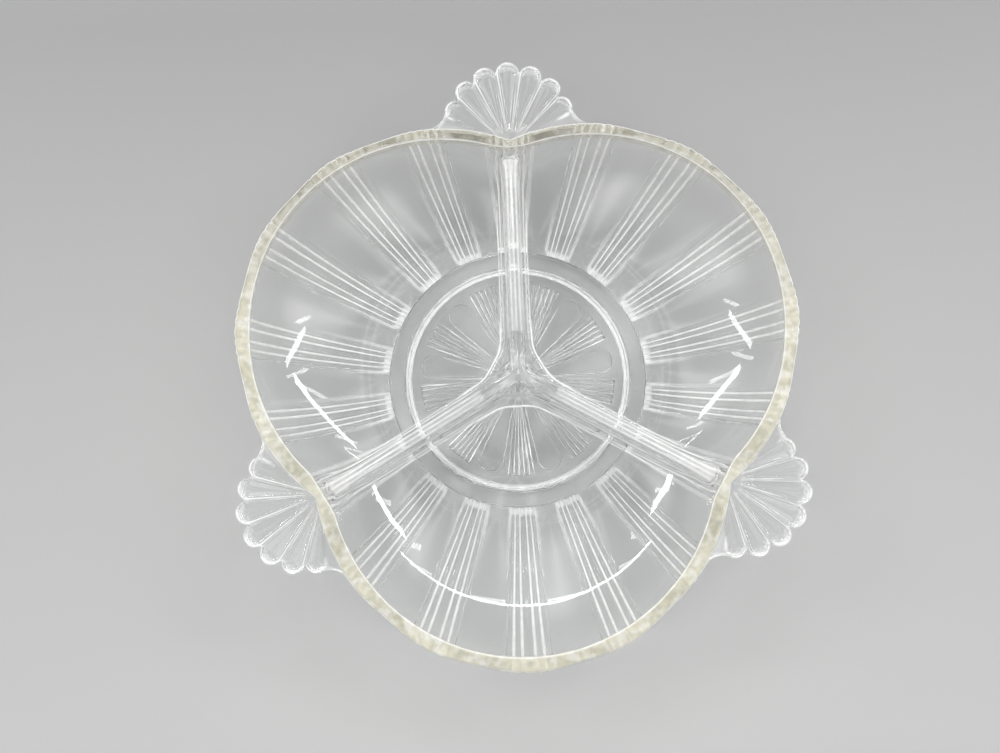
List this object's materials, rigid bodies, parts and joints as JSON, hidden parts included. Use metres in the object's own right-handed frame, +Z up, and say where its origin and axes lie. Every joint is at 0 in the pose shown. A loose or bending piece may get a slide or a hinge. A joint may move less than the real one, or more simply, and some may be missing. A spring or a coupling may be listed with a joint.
{
  "type": "relish tray",
  "caption": "Shallow lobed tray of clear pressed glass with dividing walls between its compartments, ribbed sides, a foot ring and fan-shaped handles.",
  "frame": {"origin": "on the surface that the tray stands on, under the middle of its length and width; the hub of the dividers lies 3.45 mm behind it on -Y", "axes": "+Z up, square to the foot ring; +Y along the tray's length, from the hub towards the middle of one handle; +X to the right as seen from above with that handle at the top"},
  "size_m": [0.1844, 0.199, 0.0322],
  "materials": {
    "clear_glass": "clear pressed glass, fire-polished, faintly wavy",
    "rim_glass": "the same glass where it is thickest, with a slight straw tint"
  },
  "bodies": {
    "root": {"floor_plate": "clear_glass", "sunburst": "clear_glass", "foot_ring": "clear_glass", "wall_right": "clear_glass", "wall_left": "clear_glass", "wall_front": "clear_glass", "rim_right": "rim_glass", "rim_left": "rim_glass", "rim_front": "rim_glass", "divider_back": "clear_glass", "divider_left": "clear_glass", "divider_right": "clear_glass", "hub": "clear_glass", "handle_back": "clear_glass", "handle_left": "clear_glass", "handle_right": "clear_glass"}
  },
  "joints": []
}
